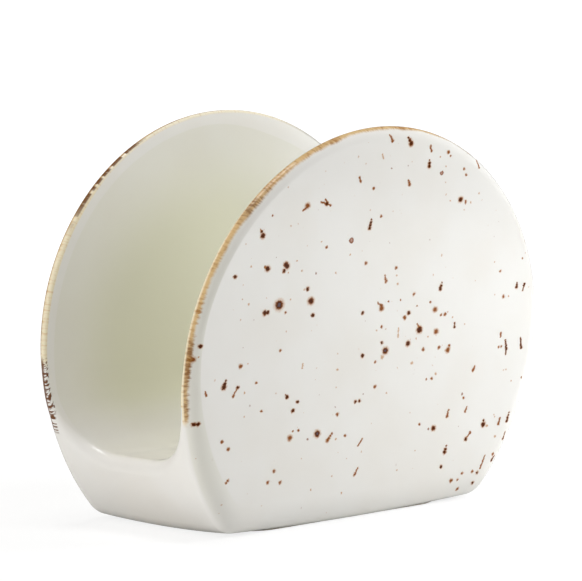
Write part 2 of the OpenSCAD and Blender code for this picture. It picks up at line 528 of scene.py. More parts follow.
def make_saddle():
    slot_walk = [RIMS[0]] + COVES[::-1]
    seam = plain_station(*oval(angle_at(UNDER_Z)))
    lower = [end_row(s) for s in [seam] + SIDE[1:] + [COVES[0]]]
    strips = [end_strip(s) for s in COVES + [RIMS[0]]]
    sheets = [grid_sheet(across(slot_row, slot_walk))]
    patches = [across(ball_row, slot_walk), lower, strips, [[(p[0], -p[1], p[2]) for p in r] for r in strips]]
    for patch in patches:
        sheets += [grid_sheet(rows) for rows in both_ends(patch)]
    sheets.append(flat_sheet(lower[0] + to_left(lower[0][::-1]), JOINT))
    side_edge = [row[0] for row in lower] + [s[0] for s in strips[1:]]
    right = side_edge + RIM_BALLS[0][::-1][1:] + RIM_BANDS[0][1:]
    for side in (1, -1):
        loop = [(p[0], side * p[1], p[2]) for p in right + to_left(right[::-1])]
        sheets.append(flat_sheet(loop, JOINT))
    return sew("saddle_glazed", sheets)


saddle = make_saddle()

# %% [markdown]
# ## The end walls
# Below the saddle each end is closed by a thin wall that curves in to the foot. Its section is
# drawn outside and inside, and draped across from leaf to leaf. Its bottom edge touches the
# table at its middle and rises a little to the corners. The left wall is the mirrored copy of
# the right one.

# %% End walls
# Inside points this close below the saddle, in mm, are left out.
CLEAR_OF_SADDLE = 0.3


def wall_section(rise):
    """Section of the wall from the saddle down to the foot, then the same drawn in."""
    outside = corner_stations(rise) + [SIDE[0]]
    inside = [s["at"] - END_T * s["out"] for s in outside]
    kept = sum(1 for s in corner_stations(BASE_RISE)
               if s["at"].y - END_T * s["out"].y < UNDER_Z - CLEAR_OF_SADDLE)
    last = (HALF_W - END_T) * math.sqrt(1 - ((UNDER_Z - WIDEST_Z) / (HALF_H * LOW_FULLNESS - END_T)) ** 2)
    seen = [s["at"] for s in outside[::-1]] + [Vector((FOOT_X, rise))]
    hidden = [Vector((FOOT_X, rise + END_T))] + inside[:kept] + [Vector((last, UNDER_Z))]
    return seen, hidden


def make_right_wall():
    sections = [wall_section(BASE_RISE * share ** 2) for share in SHARES]
    shown = len(sections[0][0])
    columns = [[(q.x, share * inner_y(q.y), q.y) for q in seen + hidden]
               for share, (seen, hidden) in zip(SHARES, sections)]
    rows = [list(row) for row in zip(*columns)]
    sheets = [grid_sheet(rows[:shown]), grid_sheet(rows[shown - 1:] + rows[:1], JOINT)]
    sheets += [flat_sheet([row[column] for row in rows], JOINT) for column in (0, -1)]
    return sew("right_end_glazed", sheets)


right_wall = make_right_wall()
left_wall = mirrored_copy(right_wall, "left_end_glazed", 0)
PIECES = [front_leaf, back_leaf, saddle, left_wall, right_wall]

# %% [markdown]
# ## One skin of glaze
# The real casting has no seams. The pieces meet exactly, but each one would be shaded on its
# own, and a glossy glaze shows the smallest break. So the normals are averaged over all pieces
# at once, weighted by the area of the faces, and given to each piece as custom normals.

# %% Shared normals
# Points this close, in metres, count as one. A sum shorter than the least normal has no direction.
SAME_PLACE, LEAST_NORMAL = 4e-6, 1e-12


def share_normals(pieces):
    """Averages the normals over all glazed faces that meet at a place, whichever piece has them."""
    def key(co):
        return tuple(round(c / SAME_PLACE) for c in co)

    sums = {}
    for piece in pieces:
        mesh = piece.data
        for face in mesh.polygons:
            if face.material_index == JOINT:
                continue
            for v in face.vertices:
                k = key(mesh.vertices[v].co)
                sums[k] = sums.get(k, Vector()) + face.normal * face.area / MM ** 2
    for piece in pieces:
        mesh = piece.data
        normals = []
        for face in mesh.polygons:
            face.use_smooth = True
            for v in face.vertices:
                shared = sums.get(key(mesh.vertices[v].co))
                plain = face.material_index == JOINT or shared is None or shared.length < LEAST_NORMAL
                normals.append(tuple(face.normal if plain else shared.normalized()))
        mesh.normals_split_custom_set(normals)
    print("shared normals:", len(sums))


share_normals(PIECES)

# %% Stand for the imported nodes
STANDS_FOR = {
    front_leaf: ("front_leaf", "speckled_glaze"),
    back_leaf: ("back_leaf", "speckled_glaze"),
    saddle: ("saddle", "clear_glaze"),
    left_wall: ("left_end_wall", "clear_glaze"),
    right_wall: ("right_end_wall", "clear_glaze"),
}
for piece, (node_name, slot_name) in STANDS_FOR.items():
    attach(piece, "root")
    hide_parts(node_name)
print("pieces:", [p.name for p in PIECES])

# %% [markdown]
# ## Materials
# Colours are written as sRGB hex values, as a painter would read them off a chart, and one
# function turns them to the linear values that the renderer wants. One more function adds a
# node with its settings and links.

# %% Helpers for materials
def linear(hex_colour):
    channels = [int(hex_colour[i:i + 2], 16) / 255 for i in (1, 3, 5)]
    return tuple(c / 12.92 if c <= 0.04045 else ((c + 0.055) / 1.055) ** 2.4 for c in channels) + (1.0,)


def add(tree, kind, links=None, **settings):
    """Adds a node. Settings that name an input set its value, and links join sockets to inputs."""
    node = tree.nodes.new("ShaderNode" + kind)
    for name, value in settings.items():
        setattr(node, name, value)
    for name, value in (links or {}).items():
        socket = node.inputs[name]
        if isinstance(value, bpy.types.NodeSocket):
            tree.links.new(value, socket)
        else:
            socket.default_value = value
    return node


def maths(tree, operation, a, b=None, c=None):
    """Adds a math node. What it works on is sockets or numbers."""
    values = {i: v for i, v in enumerate((a, b, c)) if v is not None}
    return add(tree, "Math", values, operation=operation).outputs[0]


def product(tree, first, *others):
    """All the values multiplied together."""
    for other in others:
        first = maths(tree, "MULTIPLY", first, other)
    return first


def long_side(tree, a, b):
    """Longest side of a right triangle with the short sides a and b."""
    return maths(tree, "SQRT", maths(tree, "ADD", product(tree, a, a), product(tree, b, b)))


def between(tree, value, low, high, to_low=0.0, to_high=1.0):
    """Smooth change from one value to another while the input goes from low to high."""
    links = {0: value, 1: low, 2: high, 3: to_low, 4: to_high}
    return add(tree, "MapRange", links, interpolation_type="SMOOTHSTEP").outputs[0]


def noise(tree, place, per_mm, detail):
    """Soft random pattern with so many waves to a millimetre."""
    return add(tree, "TexNoise", {"Vector": place, "Scale": per_mm, "Detail": detail}).outputs


def mix_colour(tree, share, a, b):
    mixer = add(tree, "Mix", data_type="RGBA")
    for socket, value in ((mixer.inputs[0], share), (mixer.inputs[6], a), (mixer.inputs[7], b)):
        if isinstance(value, bpy.types.NodeSocket):
            tree.links.new(value, socket)
        else:
            socket.default_value = value
    return mixer.outputs[2]


def new_material(name):
    material = bpy.data.materials.new(name)
    material.use_nodes = True
    tree = material.node_tree
    tree.nodes.clear()
    shader = add(tree, "BsdfPrincipled")
    output = add(tree, "OutputMaterial", {"Surface": shader.outputs[0]})
    output.is_active_output = True
    return material, tree, shader


print("material helpers ready")

# %% [markdown]
# ## The glaze
# Porcelain is fired clay under a clear, glassy glaze. The eye gets a clean white that turns a
# little green where the glaze pools between the leaves, and crisp reflections with a slight
# orange-peel waver. Part of that green inside the slot is painted shade between the leaves. Such
# a glaze starts from an index of 1.5 and a roughness of 0.05. Set against the photograph, both
# are a little softer here.

# %% Glaze colours
# The pooled colour is darker and greener than the body: partly glaze that pools in the slot, partly painted
# shade between the leaves.
PORCELAIN, WARM_PORCELAIN, POOLED_GLAZE_AND_SHADE = linear("#F4F2EE"), linear("#F0ECE5"), linear("#E1E0CC")
IRON_CORE, IRON_RED, IRON_TAN = linear("#4E2410"), linear("#8A4916"), linear("#C48C48")
IRON_HEART, IRON_PALE = linear("#6E6068"), linear("#C9A596")
RIM_DARK, RIM_BROWN, RIM_TAN = linear("#6C3B0E"), linear("#AE7838"), linear("#E2BE86")
# The cream is partly thin iron and partly a painted highlight on the inner edge. The grey is painted shade on
# the rim's right side.
RIM_CREAM_AND_HIGHLIGHT, RIM_EDGE_SHADE = linear("#FAEED0"), linear("#AEA99E")
BISCUIT, BISCUIT_GREY = linear("#E4DACA"), linear("#C9BCA8")

# %% Glaze surface
GLAZE_INDEX, GLAZE_ROUGHNESS = 1.42, 0.07
GLAZE_SHINE, IRON_SHINE = 0.5, 0.06
WAVES_PER_MM, WAVE_STRENGTH, WAVE_HEIGHT = 0.12, 0.12, 0.6 * MM


def glaze_shader(shader, colour, tree, millimetres):
    """Glossy glaze. Dark iron breaks through its surface, so the dark colours shine less."""
    tree.links.new(colour, shader.inputs["Base Color"])
    green = add(tree, "SeparateColor", {0: colour}).outputs[1]
    shine = between(tree, green, 0.05, 0.6, IRON_SHINE, GLAZE_SHINE)
    tree.links.new(shine, shader.inputs["Specular IOR Level"])
    shader.inputs["Roughness"].default_value = GLAZE_ROUGHNESS
    shader.inputs["IOR"].default_value = GLAZE_INDEX
    waver = noise(tree, millimetres, WAVES_PER_MM, 1.0)[0]
    bump = add(tree, "Bump", {"Height": waver, "Strength": WAVE_STRENGTH, "Distance": WAVE_HEIGHT})
    tree.links.new(bump.outputs[0], shader.inputs["Normal"])


# %% Place on the casting
# Mean radius of the rim in mm, which makes a length along the rim of an angle.
RIM_ROUND = 60.0


def millimetre_place(tree):
    place = add(tree, "TexCoord").outputs["Object"]
    return add(tree, "VectorMath", {0: place, 1: (1 / MM, 1 / MM, 1 / MM)}, operation="MULTIPLY").outputs[0]


def place_on_rim(tree, millimetres):
    """Where a point lies: its inset from the oval and its depth through the leaf in mm, its turn
    round the rim, left, which is that turn without its sign and pi at the far left, its height z,
    and back, which is 1 on the back leaf."""
    xyz = add(tree, "SeparateXYZ", {0: millimetres}).outputs
    x, y, z = xyz[0], xyz[1], xyz[2]
    up = maths(tree, "SUBTRACT", z, WIDEST_Z)
    wide, tall = maths(tree, "DIVIDE", x, HALF_W), maths(tree, "DIVIDE", up, HALF_H)
    out = long_side(tree, wide, tall)
    steep = long_side(tree, maths(tree, "DIVIDE", wide, HALF_W), maths(tree, "DIVIDE", tall, HALF_H))
    plane = maths(tree, "MULTIPLY_ADD", z, LEAN, FACE_Y)
    turn = maths(tree, "ARCTAN2", up, x)
    return {
        "inset": maths(tree, "DIVIDE", product(tree, maths(tree, "SUBTRACT", 1.0, out), out), steep),
        "depth": maths(tree, "SUBTRACT", maths(tree, "ABSOLUTE", y), plane),
        "turn": turn,
        "left": maths(tree, "ABSOLUTE", turn),
        "z": z,
        "back": between(tree, y, -1.0, 1.0),
    }


# %% Body and low strokes
CLOUDS_PER_MM, STROKES_PER_MM = 0.05, 1.6


def body_colour_and_shade(tree, millimetres, at):
    """White body with faint clouds about 20 mm across, and a darker green inside the slot: partly glaze
    that pools there, partly painted shade between the leaves.

    The green starts at a crisp oval line a little inside the rim, further in on the right, which
    leaves a lighter painted reflection band along the rim. The same green is painted as shade on
    the soft outer edge at the far left.
    A trace of it is also on the soft outer edge at the far left."""
    cloud = noise(tree, millimetres, CLOUDS_PER_MM, 2.0)[0]
    colour = mix_colour(tree, between(tree, cloud, 0.35, 0.75, 0.0, 0.6), PORCELAIN, WARM_PORCELAIN)
    # Painted reflection: the green starts only at this crisp line, further in on the right, so a lighter band
    # is left along the rim.
    way_in = maths(tree, "SUBTRACT", at["inset"], between(tree, at["left"], 1.1, 1.7, 1.8, 0.0))
    reflection_band_edge = between(tree, way_in, 2.8, 3.2, 0.0, 0.27)
    spread = between(tree, way_in, 3.2, 28.0, 0.0, 0.73)
    inner_face = between(tree, at["depth"], 0.9, 2.0, 1.0, 0.0)
    above_floor = between(tree, at["z"], 20.0, 30.0, 0.3, 1.0)
    # Painted shade: the inside of the slot is made darker and greener, on top of the glaze that pools there.
    pooled_and_shade = product(tree, maths(tree, "ADD", reflection_band_edge, spread), inner_face, above_floor)
    # Painted shade: the soft outer edge at the far left gets the same darker green, for the shade on that
    # side.
    short_of_face = between(tree, at["depth"], LEAF_T - 0.03, LEAF_T - 0.005, 0.3, 0.0)
    outer_edge = between(tree, at["depth"], 0.9, 1.5)
    far_left = between(tree, at["left"], 2.4, 2.8)
    edge = product(tree, short_of_face, outer_edge, far_left)
    return mix_colour(tree, maths(tree, "ADD", pooled_and_shade, edge), colour, POOLED_GLAZE_AND_SHADE)


def low_strokes(tree, at, colour):
    """Dark strokes across the back leaf's rim, low down on the left, where the brushed iron breaks up."""
    inset, depth = at["inset"], at["depth"]
    slant = maths(tree, "MULTIPLY_ADD", at["turn"], RIM_ROUND, product(tree, inset, 0.6))
    place = add(tree, "CombineXYZ", {0: slant, 1: product(tree, inset, 0.7)}).outputs[0]
    comb = noise(tree, place, STROKES_PER_MM, 1.5)[0]
    tips = between(tree, maths(tree, "SUBTRACT", inset, comb), 0.05, 0.4, 1.0, 0.0)
    strokes = product(tree, between(tree, comb, 0.46, 0.53), tips, between(tree, depth, -1.0, -0.5))
    line = product(tree, between(tree, depth, 0.6, 0.9, 0.0, 0.9), between(tree, depth, 1.4, 1.9, 1.0, 0.0))
    low = product(tree, between(tree, at["z"], 21.5, 23.0), between(tree, at["z"], 38.5, 41.0, 1.0, 0.0))
    left_half = between(tree, at["left"], 1.4, 1.7)
    cover = product(tree, maths(tree, "MAXIMUM", strokes, line), low, at["back"], left_half, 0.95)
    return mix_colour(tree, cover, colour, RIM_DARK)


def clear_glaze(name, stroked=False):
    material, tree, shader = new_material(name)
    millimetres = millimetre_place(tree)
    at = place_on_rim(tree, millimetres)
    colour = body_colour_and_shade(tree, millimetres, at)
    if stroked:
        colour = low_strokes(tree, at, colour)
    glaze_shader(shader, colour, tree, millimetres)
    return material


print("clear glaze ready, index", GLAZE_INDEX, "and roughness", GLAZE_ROUGHNESS)

# %% [markdown]
# ## Iron specks
# Grains of iron in the glaze melt in the kiln. A big grain leaves a dark core with a red-brown
# edge and a tan halo, a smaller one only a brown or a tan spot, and a few leave a ring. Tears
# and streaks are short runs of grains, large to small. The larger specks of the front are listed
# one by one, to half a millimetre, and the crowd of finest ones comes from a cell pattern.

# %% Specks listed one by one
# Each size is a radius in mm, with the places on the face, x and height in mm, that have a grain of it.
DARK_GRAINS = {
    0.5: [(-48, 36.5), (-26, 31), (-4, 50.5), (4, 42.5), (-4.5, 29), (-3, 29), (30, 9.5), (43.5, 4),
          (44.5, 6.5)],
    0.6: [(-51.5, 63), (-20, 78), (-25, 58), (-22.5, 51.5), (-39, 53.5), (-62, 47.5), (-27.5, 29),
          (-62, 29), (-61, 29), (13.5, 49), (-3, 40), (39, 15.5), (-34, 63)],
    0.8: [(-40, 64), (-33.5, 64.5), (-33, 64), (-40, 53.5), (14, 41.5), (26, 19.5), (30.5, 75.5)],
    1.0: [(-23.5, 55), (18, 44.5)],
}
BROWN_GRAINS = {
    0.3: [(-39.5, 76.5), (-27, 24), (25.5, 86.5), (32.5, 74.5), (5.5, 52.5), (10, 52.5), (16.5, 50.5),
          (21.5, 51), (22, 32), (56.5, 59), (59.5, 29)],
    0.4: [(-3, 80.5), (31, 83), (32, 81.5), (32.5, 75), (0.5, 73.5), (-19, 67.5), (-32.5, 53), (-33.5, 44),
          (-41.5, 37), (-39, 30), (-25, 24), (-50, 14), (-49.5, 14.5), (-7.5, 21), (3.5, 46.5), (26, 47.5),
          (2, 38), (24, 32), (37, 26), (20.5, 21), (40.5, 17), (42.5, 7), (38.5, 7), (37, 5.5), (48, 56.5),
          (49.5, 37.5), (50.5, 37.5)],
    0.5: [(24.5, 87.5), (-4, 62.5), (7.5, 60.5), (15, 53.5), (27.5, 47.5), (20, 39.5), (26, 39.5),
          (2.5, 32), (-11, 26.5), (-52.5, 24), (-50, 22), (-33, 15), (-35, 12.5), (-30.5, 12), (50, 50),
          (50.5, 10.5), (38, 3)],
    0.6: [(-47.5, 41.5), (12, 48), (-65.5, 26.5), (34.5, 5.5)],
    0.8: [(-27, 78), (-64, 44.5), (3, 51), (23.5, 49), (24.5, 43.5), (-28, 22.5)],
}
TAN_GRAINS = {
    0.3: [(-29.5, 65), (-27.5, 62.5), (-32.5, 62.5), (-15, 61), (-21, 69), (-46, 56), (-46, 65), (-31, 56),
          (-45.5, 35), (-62.5, 45), (-11, 20.5), (-19, 9), (-7.5, 7), (21.5, 86.5), (24, 84), (26.5, 75.5),
          (37.5, 76.5), (-10, 65), (45.5, 59), (52, 50), (28.5, 48), (30.5, 46.5), (21.5, 42.5), (17, 42.5),
          (7, 30), (53, 31.5), (55.5, 28.5), (34.5, 74.5)],
    0.4: [(8.5, 56.5), (-12, 37.5), (25.5, 33), (47, 18), (50.5, 15)],
    0.5: [(16, 36.5)],
    0.6: [(4.5, 39)],
}
BIG_GRAINS = {1.0: [(-18, 22.5), (5.5, 40.5)], 1.4: [(-35, 55)]}
RING_GRAINS = {0.6: [(22.5, 82.5)], 0.8: [(-10, 68.5)]}

# Each tear is its head and its tail on the face, x and height, and the radius of its head.
DARK_TEARS = [
    (-42.5, 72, -43, 73, 0.8), (10, 90.5, 9, 92, 0.8), (17.5, 84.5, 17.5, 86, 0.6), (-3.5, 71, -3, 73, 0.6),
    (25, 54, 25.5, 55.5, 0.6), (-53, 37, -52.5, 38.5, 0.8), (-30, 32.5, -30.5, 33, 0.6),
    (31, 13, 31.5, 14.5, 0.6), (45.5, 18.5, 45.5, 19.5, 0.8), (55, 18.5, 55.5, 20.5, 0.6),
    (54.5, 14, 55, 15.5, 0.5), (50.5, 9, 51.5, 10, 0.5), (55, 52, 55, 53, 0.5), (58, 52.5, 57.5, 51, 0.4),
    (52.5, 37, 52, 39, 0.5), (52.5, 37, 52.5, 35.5, 0.5), (58.5, 36.5, 58, 39, 0.4),
    (31.5, 44, 31.5, 45, 0.4),
]
BROWN_TEARS = [
    (-43, 73, -43.5, 73.5, 0.3), (-27.5, 77.5, -28.5, 77, 0.4), (-20, 78, -22, 78.5, 0.4),
    (-20, 78, -18.5, 77.5, 0.4), (-20, 78.5, -20.5, 79, 0.3), (-40, 64, -41, 64.5, 0.4),
    (-8, 82.5, -8.5, 83.5, 0.4), (3, 91.5, 2, 93, 0.4), (18, 88, 17.5, 89.5, 0.3), (37, 83, 36.5, 84.5, 0.4),
    (10.5, 80.5, 10, 81.5, 0.5), (4, 57.5, 3.5, 59, 0.5), (18, 45, 17, 46, 0.4), (3, 51.5, 1.5, 52.5, 0.5),
    (29.5, 38.5, 30, 39.5, 0.8), (-49.5, 34.5, -48.5, 36, 0.4), (-59, 35.5, -59.5, 36.5, 0.3),
    (-14, 20.5, -12.5, 22, 0.6), (31, 22, 31.5, 23.5, 0.5), (38, 22.5, 38.5, 23.5, 0.4),
    (40, 32.5, 40.5, 33.5, 0.4), (50, 40, 50, 41, 0.3), (51.5, 18, 52, 19.5, 0.4), (-3, 11, -2, 12.5, 0.4),
    (-2.5, 18, -1, 19.5, 0.3), (45.5, 7.5, 47, 10.5, 0.3), (39.5, 16, 40.5, 17, 0.3),
]
TAN_TEARS = [(10, 43.5, 10, 45.5, 0.4), (0, 87.5, -0.5, 88.5, 0.3), (-25, 39, -25, 40, 0.3)]
GRAIN_SIZES = (0.3, 0.4, 0.5, 0.6, 0.8, 1.0)
TEAR_SPACING, TEAR_TAPER = 1.1, 0.45


def with_tears(grains, tears):
    """Grains of one kind, with a run of ever smaller ones for each tear, from its head to its tail."""
    together = {radius: list(grains.get(radius, [])) for radius in GRAIN_SIZES}
    for head_x, head_z, tail_x, tail_z, head_radius in tears:
        length = math.hypot(tail_x - head_x, tail_z - head_z)
        steps = max(1, round(length / head_radius / TEAR_SPACING))
        for step in range(steps + 1):
            share = step / steps
            wanted = head_radius * (1 - TEAR_TAPER * share)
            radius = min(GRAIN_SIZES, key=lambda size: abs(size - wanted))
            place = (head_x + (tail_x - head_x) * share, head_z + (tail_z - head_z) * share)
            together[radius].append(place)
    return {radius: places for radius, places in together.items() if places}


FRONT_GRAINS = [
    with_tears(DARK_GRAINS, DARK_TEARS),
    with_tears(BROWN_GRAINS, BROWN_TEARS),
    with_tears(TAN_GRAINS, TAN_TEARS),
    BIG_GRAINS,
    RING_GRAINS,
]
print("grains on the front:", sum(len(places) for kind in FRONT_GRAINS for places in kind.values()))

# %% Speck nodes
# A grain's height on the face as a share of its width, and the reach in mm of the waver that
# makes its edge ragged.
GRAIN_TALL = 0.8
RAGGED_PER_MM, RAGGED_REACH = 1.3, 0.9
AT_ONCE, HAIR = 12, 1e-5


def face_place(tree, millimetres):
    """Place on the leaf's face, with a waver that gives the grains their ragged edges."""
    stretch = {0: millimetres, 1: (1, 0, 1 / GRAIN_TALL)}
    flat = add(tree, "VectorMath", stretch, operation="MULTIPLY").outputs[0]
    waver = noise(tree, flat, RAGGED_PER_MM, 2.0)[1]
    centred = add(tree, "VectorMath", {0: waver, 1: (0.5, 0.5, 0.5)}, operation="SUBTRACT").outputs[0]
    reach = {0: centred, 1: (RAGGED_REACH, 0, RAGGED_REACH)}
    shift = add(tree, "VectorMath", reach, operation="MULTIPLY").outputs[0]
    return add(tree, "VectorMath", {0: flat, 1: shift}, operation="ADD").outputs[0]


def nearest_grain(tree, place, grains):
    """Distance to the nearest grain of one kind, where 1 is the grain's own radius.

    The renderer can hold only so many values at once. So each short run of grains starts from a
    place that is a hair's breadth of the last run's result away, which keeps the runs in turn."""
    nearest = None
    for radius, places in grains.items():
        for first in range(0, len(places), AT_ONCE):
            start = place
            if nearest is not None:
                hair = add(tree, "CombineXYZ", {0: product(tree, nearest, HAIR)}).outputs[0]
                start = add(tree, "VectorMath", {0: place, 1: hair}, operation="ADD").outputs[0]
            run = None
            for x, z in places[first:first + AT_ONCE]:
                ends = {0: start, 1: (x, 0, z / GRAIN_TALL)}
                far = add(tree, "VectorMath", ends, operation="DISTANCE").outputs["Value"]
                run = far if run is None else maths(tree, "MINIMUM", run, far)
            run = maths(tree, "DIVIDE", run, radius)
            nearest = run if nearest is None else maths(tree, "MINIMUM", nearest, run)
    return nearest


# %% Grains of the back
# Half the width, and the lowest and highest place, that a grain is drawn in, and the oval that
# keeps it clear of the edge, all in mm.
DRAW_HALF_W, DRAW_LOW, DRAW_HIGH = 60, 4, 92
KEEP_HALF_W, KEEP_HALF_H = 61, 52


def scattered_grains(seed, count, radii):
    """Grains like the listed ones, for the face that is away from the viewer."""
    draw = random.Random(seed)
    grains = {radius: [] for radius in radii}
    while count > 0:
        x, z = draw.uniform(-DRAW_HALF_W, DRAW_HALF_W), draw.uniform(DRAW_LOW, DRAW_HIGH)
        if (x / KEEP_HALF_W) ** 2 + ((z - WIDEST_Z) / KEEP_HALF_H) ** 2 < 1:
            grains[draw.choice(radii)].append((round(x, 1), round(z, 1)))
            count -= 1
    return {radius: places for radius, places in grains.items() if places}


# One entry for each kind: dark, brown, tan, big and ring. A radius is named twice to come up more.
BACK_GRAINS = [
    scattered_grains(11, 24, (0.5, 0.6, 0.6, 0.8, 1.0)),
    scattered_grains(5, 44, (0.3, 0.4, 0.4, 0.5, 0.6)),
    scattered_grains(3, 30, (0.3, 0.4)),
    scattered_grains(7, 3, (1.0, 1.4)),
    scattered_grains(2, 2, (0.8,)),
]
print("grains on the back:", sum(len(places) for kind in BACK_GRAINS for places in kind.values()))

# %% [markdown]
# ## The speckled glaze
# The shader works out three things from the place on the casting: how far in from the oval's
# edge a point is, how deep it is through the leaf, and where it is round the rim. The brown
# brushed band follows the first two, and its feathery streaks follow the third.

# %% Brushed rim
STREAKS_PER_MM, DRIFTS_PER_MM, BITS_PER_MM = 1.5, 0.1, 0.35


def rim_paint(tree, at, colour, low_end, low_lip):
    """Iron brushed along the rim, down to the height low_end. It is cream on the inner edge, partly
    where the iron is thin and partly as a painted highlight, and golden brown with feathery streaks
    outside, with two darker patches on the left. On the right, where the rim turns away, the brown
    and the cream fade to a painted grey shade."""
    inset, depth, turn, left, z = (at[name] for name in ("inset", "depth", "turn", "left", "z"))
    way_out = maths(tree, "ADD", inset, maths(tree, "SUBTRACT", depth, RIM_R))
    along = product(tree, turn, RIM_ROUND)
    streak_place = add(tree, "CombineXYZ", {0: along, 1: product(tree, way_out, 0.25)}).outputs[0]
    streak = noise(tree, streak_place, STREAKS_PER_MM, 3.0)[0]
    drift = noise(tree, streak_place, DRIFTS_PER_MM, 2.0)[0]
    high_patch = product(tree, between(tree, turn, 2.3, 2.36), between(tree, turn, 2.46, 2.54, 1.0, 0.0))
    patch = maths(tree, "ADD", between(tree, left, 2.96, 3.04), high_patch)
    ends = between(tree, maths(tree, "MULTIPLY_ADD", drift, 5.0, z), low_end + 1.5, low_end + 4.0)
    outside = between(tree, depth, RIM_R, RIM_R + 0.2)

    reach = maths(tree, "MULTIPLY_ADD", drift, between(tree, z, 25.0, 75.0, 1.0, 2.4), 0.8)
    teeth = maths(tree, "SUBTRACT", streak, 0.5)
    reach = maths(tree, "MULTIPLY_ADD", teeth, between(tree, z, 45.0, 75.0, 2.4, 1.0), reach)
    reach = maths(tree, "MULTIPLY_ADD", patch, 0.5, reach)
    reach = product(tree, reach, between(tree, left, 0.9, 1.6, 0.85, 1.0))
    cover = between(tree, maths(tree, "SUBTRACT", way_out, reach), -0.5, 0.9, 1.0, 0.0)

    mottle = maths(tree, "MULTIPLY_ADD", streak, 0.6, product(tree, drift, 0.7))
    brown = mix_colour(tree, between(tree, mottle, 0.58, 0.85), RIM_TAN, RIM_BROWN)
    deep = product(tree, between(tree, streak, 0.35, 0.65, 0.1, 0.6), patch)
    brown = mix_colour(tree, deep, brown, RIM_DARK)
    # Painted shade: on the right, where the rim turns away, the brown turns grey.
    brown = mix_colour(tree, between(tree, left, 0.8, 1.25, 1.0, 0.0), brown, RIM_EDGE_SHADE)
    colour = mix_colour(tree, product(tree, cover, outside, ends, 0.95), colour, brown)

    # The cream on the inner edge is partly thin iron and partly a painted highlight.
    lip_width = between(tree, left, 2.3, 2.8, 0.5, low_lip)
    past_lip = maths(tree, "SUBTRACT", maths(tree, "ADD", inset, depth), lip_width)
    near_edge = between(tree, inset, 0.6, 1.0, 1.0, 0.0)
    lip = product(tree, between(tree, past_lip, 0.0, 0.6, 1.0, 0.0), near_edge, ends)
    cream = mix_colour(tree, between(tree, streak, 0.48, 0.7, 0.0, 0.7), RIM_CREAM_AND_HIGHLIGHT, RIM_TAN)
    # Painted shade: on the right the cream turns grey too.
    cream = mix_colour(tree, between(tree, left, 0.9, 1.3, 1.0, 0.0), cream, RIM_EDGE_SHADE)
    return mix_colour(tree, lip, colour, cream)


def rim_bits(tree, at, colour):
    """Short dark bits on the back leaf's rim, high on the left."""
    along = add(tree, "CombineXYZ", {0: product(tree, at["turn"], RIM_ROUND)}).outputs[0]
    spread = noise(tree, along, BITS_PER_MM, 3.0)[0]
    bits = product(tree, between(tree, spread, 0.42, 0.5), between(tree, at["depth"], 0.35, 0.6))
    edge_band = between(tree, maths(tree, "ADD", at["inset"], at["depth"]), 1.6, 2.4, 1.0, 0.0)
    high_left = product(
        tree, between(tree, at["turn"], 2.05, 2.15), between(tree, at["turn"], 2.5, 2.7, 1.0, 0.0))
    return mix_colour(tree, product(tree, bits, edge_band, high_left, 0.9), colour, RIM_DARK)


# %% Colours of the specks
# Each layer is the radii that it fades between, as shares of the grain's own, how well it covers,
# and its colour.
DARK = ((0.9, 1.8, 0.6, IRON_TAN), (0.8, 1.2, 0.97, IRON_RED), (0.5, 0.95, 0.97, IRON_CORE))
BROWN = ((0.9, 1.75, 0.65, IRON_TAN), (0.6, 1.2, 0.97, IRON_RED))
TAN = ((0.5, 1.5, 0.75, IRON_TAN),)
BIG = DARK + ((0.2, 0.6, 0.6, IRON_HEART),)
RING = ((0.9, 1.35, 0.95, IRON_RED), (0.3, 0.75, 0.8, IRON_PALE))
KINDS = (DARK, BROWN, TAN, BIG, RING)

# The finest grains: the middle of their crowd, and each pattern's spacing and grain radius in mm,
# how well it covers, and its colour.
CROWD = (16, 0, 46 / GRAIN_TALL)
FINE_PATTERNS = ((2.8, 0.4, 0.6, IRON_TAN), (5.2, 0.52, 0.85, IRON_RED))
PATCHES_PER_MM = 0.045


def grain_paint(tree, nearest, strength, colour, layers):
    """Rings of colour round the grains, from the halo inwards, each laid over the last."""
    for inner, outer, share, paint in layers:
        cover = between(tree, nearest, inner, outer, share, 0.0)
        colour = mix_colour(tree, product(tree, cover, strength), colour, paint)
    return colour


def fine_specks(tree, place, strength, colour):
    """Small tan and red-brown grains from cell patterns, crowded in patches and right of the middle."""
    patches = noise(tree, place, PATCHES_PER_MM, 1.0)[0]
    away = add(tree, "VectorMath", {0: place, 1: CROWD}, operation="DISTANCE").outputs["Value"]
    patches = maths(tree, "ADD", patches, between(tree, away, 8.0, 26.0, 0.24, 0.04))
    for spacing, radius, share, paint in FINE_PATTERNS:
        cells = add(tree, "TexVoronoi", {"Vector": place, "Scale": 1 / spacing, "Randomness": 1.0})
        far = product(tree, cells.outputs["Distance"], spacing)
        pick = add(tree, "SeparateColor", {0: cells.outputs["Color"]}).outputs
        size = maths(tree, "MULTIPLY_ADD", pick[1], radius * 0.6, radius * 0.4)
        cover = between(tree, maths(tree, "DIVIDE", far, size), 0.4, 1.0, share, 0.0)
        chosen = between(tree, maths(tree, "ADD", pick[0], patches), 0.95, 1.1)
        colour = mix_colour(tree, product(tree, cover, chosen, strength), colour, paint)
    return colour


